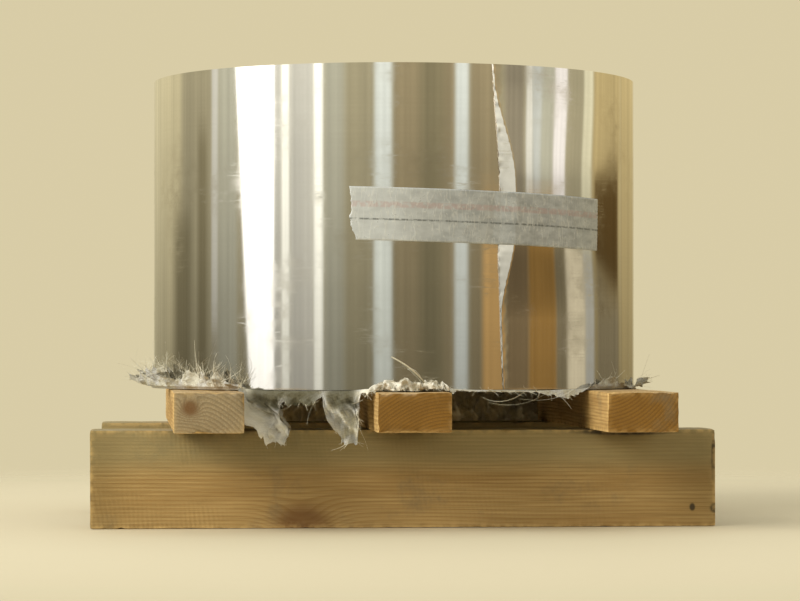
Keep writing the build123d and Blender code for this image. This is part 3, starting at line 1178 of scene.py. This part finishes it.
class CoilSettings(bpy.types.PropertyGroup):
    """Sizes and colours of the wound strip and of the tape over its end"""

    strip_thickness: length_setting("Strip thickness", "Thickness of the rolled strip", 0.5 * MM)
    outer_end: number_setting(
        "Outer end", "Where the strip's outer end lies, in degrees from -Y towards +X", 19.3)
    inner_end: number_setting(
        "Inner end", "Where the strip's inner end lies in the bore, in degrees", 140.0)
    end_slope: number_setting(
        "End slope", "How steeply the strip rises from its cut end, in degrees", 9.2)
    end_width: length_setting(
        "End width", "How wide the rising part of the strip's end is at the tape", 16.0 * MM)
    end_reach: length_setting("End reach", "How far along the strip its end stands off", 170.0 * MM)
    dent_depth: length_setting("Dents", "Depth of the small dents along the cut end", 0.08 * MM)
    wave_height: length_setting("Wave height", "Height of slow waves in the outer turn", 0.16 * MM)
    scallop_depth: length_setting(
        "Scallop depth", "How uneven the sheared end of the strip is", 2.1 * MM)
    scallop_pitch: length_setting("Scallop pitch", "Length of one bite of the shear", 7.8 * MM)
    tape_angle: number_setting(
        "Tape middle", "Middle of the tape, in degrees from -Y towards +X", 17.2)
    tape_arc: number_setting("Tape arc", "How far the tape reaches round, in degrees", 64.0)
    tape_lean: number_setting("Tape lean", "How far the tape leans, in degrees", -1.6)
    tape_width: length_setting("Tape width", "Width of the packing tape", 48.0 * MM)
    steel_colour: colour_setting("Steel", "Colour of the bright rolled face", (0.8, 0.775, 0.72))
    burnished_colour: colour_setting(
        "Burnished", "Colour of the rubbed facet at the strip's end", (0.86, 0.77, 0.66))
    edge_colour: colour_setting(
        "Slit edges", "Colour of the turns' slit edges", (0.62, 0.59, 0.53))
    tape_colour: colour_setting("Tape", "Colour of the filmy tape", (0.5, 0.515, 0.505))


class WrapSettings(bpy.types.PropertyGroup):
    """Sizes and colours of the torn wrap below the coil"""

    sheet_sag: length_setting("Sag", "How far the wrap sags between two battens", 1.6 * MM)
    crumple: number_setting("Crumple", "How far crumples turn the torn rim, in degrees", 62.0)
    weave_pitch: length_setting("Weave pitch", "Width of one woven tape of the cloth", 2.2 * MM)
    fray_count: count_setting("Fibres", "Number of split fibres along the tear", 1100)
    fray_seed: count_setting("Fibre seed", "Start value of the fibres' random places", 23)
    wrap_colour: colour_setting("Wrap", "Colour of the plain woven cloth", (0.56, 0.53, 0.425))
    grime_colour: colour_setting("Grime", "Colour of grime on the cloth", (0.26, 0.23, 0.175))
    # Colours painted for light and shade on the cloth
    cloth_light_colour: colour_setting(
        "Clean", "Colour painted where the cloth is most lit", (0.86, 0.82, 0.7))
    cloth_shade_colour: colour_setting(
        "Painted shade", "Colour painted where the cloth is most shaded", (0.09, 0.082, 0.045))
    # A painted sheen
    bluish_sheen_colour: colour_setting("Bluish sheen", "Painted bluish sheen in patches of the cloth", (0.5, 0.51, 0.54))


class SkidSettings(bpy.types.PropertyGroup):
    """Sizes and colours of the sawn timbers"""

    timber_cell: length_setting("Mesh size", "Size of a face on the timbers", 4.0 * MM)
    timber_arris: length_setting("Arris", "Radius of the rubbed edges", 1.4 * MM)
    chip_depth: length_setting("Chips", "Depth of the deepest chips in the edges", 3.0 * MM)
    bearer_light: colour_setting("Bearer, light", "Early wood of the bearers", (0.45, 0.31, 0.127))
    bearer_dark: colour_setting("Bearer, dark", "Late wood of the bearers", (0.3, 0.175, 0.055))
    batten_light: colour_setting("Batten, light", "Early wood of the battens", (0.6, 0.405, 0.165))
    batten_dark: colour_setting("Batten, dark", "Late wood of the battens", (0.33, 0.175, 0.05))
    end_left: colour_setting(
        "Left batten's end", "End grain of the left batten", (0.385, 0.308, 0.185))
    end_golden: colour_setting(
        "Other battens' ends", "End grain of the other battens", (0.24, 0.114, 0.014))
    end_bearer: colour_setting("Bearers' ends", "End grain of the bearers", (0.25, 0.16, 0.06))
    knot_colour: colour_setting("Knots", "Knots in the timbers", (0.15, 0.07, 0.022))
    dirt_colour: colour_setting("Dirt", "Ground-in dirt", (0.18, 0.14, 0.08))
    # Painted shade on the bearers' upper part and under the battens, with grime at their ends
    upper_shade_colour: colour_setting(
        "Weathered wood", "Shade painted on the bearers' upper part", (0.26, 0.232, 0.12))
    stain_and_shadow_colour: colour_setting("Stains", "Dark stains, and a painted shadow line, on the bearers", (0.03, 0.022, 0.012))
    shade_and_grime_colour: colour_setting(
        "Smudges", "Painted shade under the battens, and grime at the bearers' ends", (0.1, 0.07, 0.02))


class StageSettings(bpy.types.PropertyGroup):
    """The camera's place, the floor, the backdrop and the light"""

    camera_azimuth: number_setting(
        "Camera azimuth", "Camera's side, in degrees from -Y towards +X", -4.67)
    camera_distance: length_setting(
        "Camera distance", "Distance in plan from the coil's axis", 2.899)
    camera_height: length_setting("Camera height", "Height of the camera above the floor", 0.166)
    aim: bpy.props.FloatVectorProperty(
        name="Aim", description="What the camera looks at", default=(0.006, 0.0, 0.211), size=3,
        subtype="XYZ", unit="LENGTH")
    lens: number_setting("Lens", "Focal length in millimetres", 134.0, min=1.0)
    backdrop_colour: colour_setting("Backdrop", "Plain pale backdrop", (0.69, 0.605, 0.385))
    floor_colour: colour_setting("Floor", "Plain pale floor", (0.7, 0.63, 0.46))
    lamp_power: number_setting("Lamp", "Power of the soft lamp", 235.0, min=0.0)


# Making


def look_at(thing, target):
    """Turns a camera or a lamp towards a point."""
    thing.rotation_euler = (Vector(target) - thing.location).to_track_quat("-Z", "Y").to_euler()


class STEELCOIL_OT_stage(bpy.types.Operator):
    """Sets the camera, the floor, the soft lamp and the studio round the coil"""

    bl_idname = "steel_coil.stage"
    bl_label = "Set the stage"

    def execute(self, context):
        scene = context.scene
        settings = scene.coil_stage
        scene.view_settings.view_transform = "Standard"

        camera_data = bpy.data.cameras.new("camera")
        camera_data.lens = settings.lens
        camera_data.sensor_width = 36.0
        camera = bpy.data.objects.new("camera", camera_data)
        place = around(settings.camera_distance, math.radians(settings.camera_azimuth))
        camera.location = (*place, settings.camera_height)
        look_at(camera, settings.aim)
        scene.collection.objects.link(camera)
        scene.camera = camera

        lamp_data = bpy.data.lights.new("soft_lamp", "AREA")
        lamp_data.shape = "RECTANGLE"
        lamp_data.size = 3.2
        lamp_data.size_y = 2.4
        lamp_data.energy = settings.lamp_power
        lamp_data.color = (1.0, 0.965, 0.88)
        lamp = bpy.data.objects.new("soft_lamp", lamp_data)
        lamp.location = (-4.2, -2.9, 3.0)
        look_at(lamp, (0, 0, 0.2))
        lamp.visible_glossy = False
        lamp.visible_camera = False
        scene.collection.objects.link(lamp)

        self.lay_floor(scene, settings)
        self.light_studio(scene, settings)
        return {"FINISHED"}

    def lay_floor(self, scene, settings):
        """A round floor on a polar grid, which fades into the backdrop away from the coil."""
        columns, ring_radii = 96, (0.001, 0.4, 1.0, 2.0, 3.5, 5.0)
        angle = np.linspace(0, 2 * math.pi, columns, endpoint=False)
        points = with_height(around(np.array(ring_radii)[:, None], angle), 0.0)
        mesh = bpy.data.meshes.new("floor")
        mesh.from_pydata(points.reshape(-1, 3).tolist(), [], disc_faces(*points.shape[:2]))
        floor = bpy.data.objects.new("floor", mesh)
        scene.collection.objects.link(floor)

        material, tree, shader, coordinates = new_material("plain_floor")
        position = coordinates["Object"]
        cloudy = noise(tree, position, 2.4, 4.0)
        grain = noise(tree, position, 160.0, 3.0)
        tone = summed(tree, 0.0, (grain, 0.08), (cloudy, 0.16))
        colour = layered(tree, settings.floor_colour, (tone, shade(settings.floor_colour, 0.8)))
        dress(tree, shader, colour, summed(tree, 0.62, (cloudy, 0.2)), grain, 0.05 * MM)
        fade_start, fade_stop = 0.5, 1.4
        share = ramp(tree, vector_calc(tree, "LENGTH", position), fade_start, fade_stop)
        clear = put(tree, "ShaderNodeBsdfTransparent").outputs[0]
        faded = put(tree, "ShaderNodeMixShader", {0: share, 1: shader.outputs[0], 2: clear})
        tree.links.new(faded.outputs[0], tree.nodes["Material Output"].inputs["Surface"])
        mesh.materials.append(material)

    def light_studio(self, scene, settings):
        """A plain pale backdrop all round, and soft cards and a ceiling for the light and steel.

        The backdrop is there for every ray, so that the steel shows it too. The cards stand in
        front of it for all but what the camera sees directly or through something clear. A
        direction's azimuth is the arctangent of its plan, and its elevation the arcsine of its
        height.
        """
        world = bpy.data.worlds.new("studio")
        world.use_nodes = True
        scene.world = world
        tree = world.node_tree
        parts = axes(tree, put(tree, "ShaderNodeTexCoord").outputs["Generated"])
        degrees = 180 / math.pi
        azimuth = calc(tree, "ARCTAN2", parts["X"], product(tree, parts["Y"], -1.0))
        azimuth = summed(tree, -settings.camera_azimuth, (azimuth, degrees))
        elevation = product(tree, calc(tree, "ARCSINE", parts["Z"]), degrees)
        colour = STUDIO_TONES["olive"]
        for start, stop, bottom, top, softness, lean, tone in STUDIO_CARDS:
            leaning = summed(tree, azimuth, (elevation, -lean)) if lean else azimuth
            ends = (
                (leaning, start, softness, False), (azimuth, stop, softness, True),
                (elevation, bottom, CARD_END_SOFTNESS, False),
                (elevation, top, CARD_END_SOFTNESS, True),
            )
            mask = product(tree, *(edge(tree, *end) for end in ends if end[1] is not None))
            colour = layered(tree, colour, (mask, STUDIO_TONES[tone]))
        room = joined(tree, azimuth, product(tree, elevation, 0.06), 0.0)
        streaks = noise(tree, room, 0.42, 2.0, 0.6)
        patches = noise(tree, room, (0.06, 3.0, 1.0))
        dimmed = ramp(tree, elevation, -3.0, 9.0, 0.33, 1.08)
        uneven = product(
            tree, dimmed, summed(tree, 0.65, (streaks, 0.7)), summed(tree, 0.8, (patches, 0.4)))
        colour = vector_calc(tree, "SCALE", colour, uneven)
        backdrop = settings.backdrop_colour
        colour = layered(tree, backdrop, (band(tree, azimuth, *CARD_ARC), colour))
        height_softness, side_softness = CEILING_SOFTNESS
        for bottom, top, start, stop, tone in STUDIO_CEILING:
            mask = product(
                tree, band(tree, elevation, bottom, top, height_softness),
                band(tree, azimuth, start, stop, side_softness))
            colour = layered(tree, colour, (mask, STUDIO_TONES[tone]))
        rays = put(tree, "ShaderNodeLightPath").outputs
        plain = calc(tree, "MAXIMUM", rays["Is Camera Ray"], rays["Is Transmission Ray"])
        colour = layered(tree, colour, (plain, backdrop))
        tree.links.new(colour, tree.nodes["Background"].inputs["Color"])


class STEELCOIL_OT_wind(bpy.types.Operator):
    """Makes the wound turns, the loose outer end of the strip and its inner end in the bore"""

    bl_idname = "steel_coil.wind"
    bl_label = "Wind the coil"

    def execute(self, context):
        settings = context.scene.coil_strip
        face = steel_face(settings)
        points, faces = windings(settings)
        wound = new_piece(
            "coil_windings", points, faces, slit_edges(settings), "steel", sharp=35)
        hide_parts("coil")
        ends = (
            ("outer_turn", COIL_RADIUS, settings.outer_end, 1, TURN_SLIPS[-1], 1.0, 190),
            ("inner_turn", BORE_RADIUS, settings.inner_end, -1, TURN_SLIPS[0], 0.5, 70),
        )
        for name, radius, angle, outwards, slip, lift, rows in ends:
            points, faces, uv, burnished = strip_turn(
                settings, radius, math.radians(angle), outwards, slip, lift, rows)
            turn = new_piece(name, points, faces, face, "steel", uv=uv, burnished=burnished)
            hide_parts("coil")
        return {"FINISHED"}


class STEELCOIL_OT_tape(bpy.types.Operator):
    """Lays the packing tape over the strip's outer end"""

    bl_idname = "steel_coil.tape"
    bl_label = "Tape the end"

    def execute(self, context):
        settings = context.scene.coil_strip
        points, faces, uv = tape_film(settings)
        piece = new_piece("tape_film", points, faces, tape_finish(settings), "tape", uv=uv)
        film = piece.modifiers.new("film", "SOLIDIFY")
        film.thickness = 0.12 * MM
        film.offset = 1.0
        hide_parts("tail_tape")
        return {"FINISHED"}


class STEELCOIL_OT_wrap(bpy.types.Operator):
    """Makes the torn wrap between coil and battens, with its rags, fibres and loose threads"""

    bl_idname = "steel_coil.wrap"
    bl_label = "Tear the wrap"

    def execute(self, context):
        settings = context.scene.coil_wrap
        points, faces, uv, clean, flat_size, area = torn_sheet(settings)
        cloth = new_piece(
            "torn_wrap", points, faces, woven_wrap(settings), "wrap", uv=uv, sharp=180, clean=clean)
        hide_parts("wrap_sheet")
        frays = new_piece(
            "frayed_fibres", *frayed_ends(settings, points), loose_fibre(settings), "wrap")
        return {"FINISHED"}


class STEELCOIL_OT_skid(bpy.types.Operator):
    """Saws the three battens and the two bearers of the skid"""

    bl_idname = "steel_coil.skid"
    bl_label = "Build the skid"

    def execute(self, context):
        settings = context.scene.coil_skid
        for number, (name, timber) in enumerate(TIMBERS.items()):
            kind = name.split("_")[0]
            tones = [getattr(settings, tone)
                     for tone in (f"{kind}_light", f"{kind}_dark", timber["end"])]
            wood = sawn_wood(f"{name}_wood", *tones, timber, settings)
            points, faces, arris = sawn_timber(name, settings, 40 + 5 * number)
            piece = new_piece(
                f"{name}_sawn", points, faces, wood, f"{kind}_wood", merge=0.02 * MM, arris=arris)
            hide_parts(name)
        return {"FINISHED"}


class STEELCOIL_PT_sidebar(bpy.types.Panel):
    """Lists the steps and the settings in the sidebar"""

    bl_idname = "STEELCOIL_PT_sidebar"
    bl_label = "Steel coil"
    bl_space_type = "VIEW_3D"
    bl_region_type = "UI"
    bl_category = "Steel coil"

    def draw(self, context):
        for operator in OPERATORS:
            self.layout.operator(operator.bl_idname)
        for name, group in SETTINGS.items():
            box = self.layout.box()
            box.label(text=group.__doc__)
            for setting in group.__annotations__:
                box.prop(getattr(context.scene, name), setting)


OPERATORS = (
    STEELCOIL_OT_stage, STEELCOIL_OT_wind, STEELCOIL_OT_tape, STEELCOIL_OT_wrap, STEELCOIL_OT_skid)
SETTINGS = {
    "coil_strip": CoilSettings,
    "coil_wrap": WrapSettings,
    "coil_skid": SkidSettings,
    "coil_stage": StageSettings,
}
CLASSES = (*SETTINGS.values(), *OPERATORS, STEELCOIL_PT_sidebar)


def register():
    for each in CLASSES:
        bpy.utils.register_class(each)
    for name, group in SETTINGS.items():
        setattr(bpy.types.Scene, name, bpy.props.PointerProperty(type=group))


def unregister():
    for name in SETTINGS:
        delattr(bpy.types.Scene, name)
    for each in reversed(CLASSES):
        bpy.utils.unregister_class(each)


def main():
    register()
    make_handling_marks()
    make_settled_dust()
    make_wood_figure()
    make_saw_marks()
    bpy.ops.steel_coil.stage()
    bpy.ops.steel_coil.wind()
    bpy.ops.steel_coil.tape()
    bpy.ops.steel_coil.wrap()
    bpy.ops.steel_coil.skid()


if __name__ == "__main__":
    main()
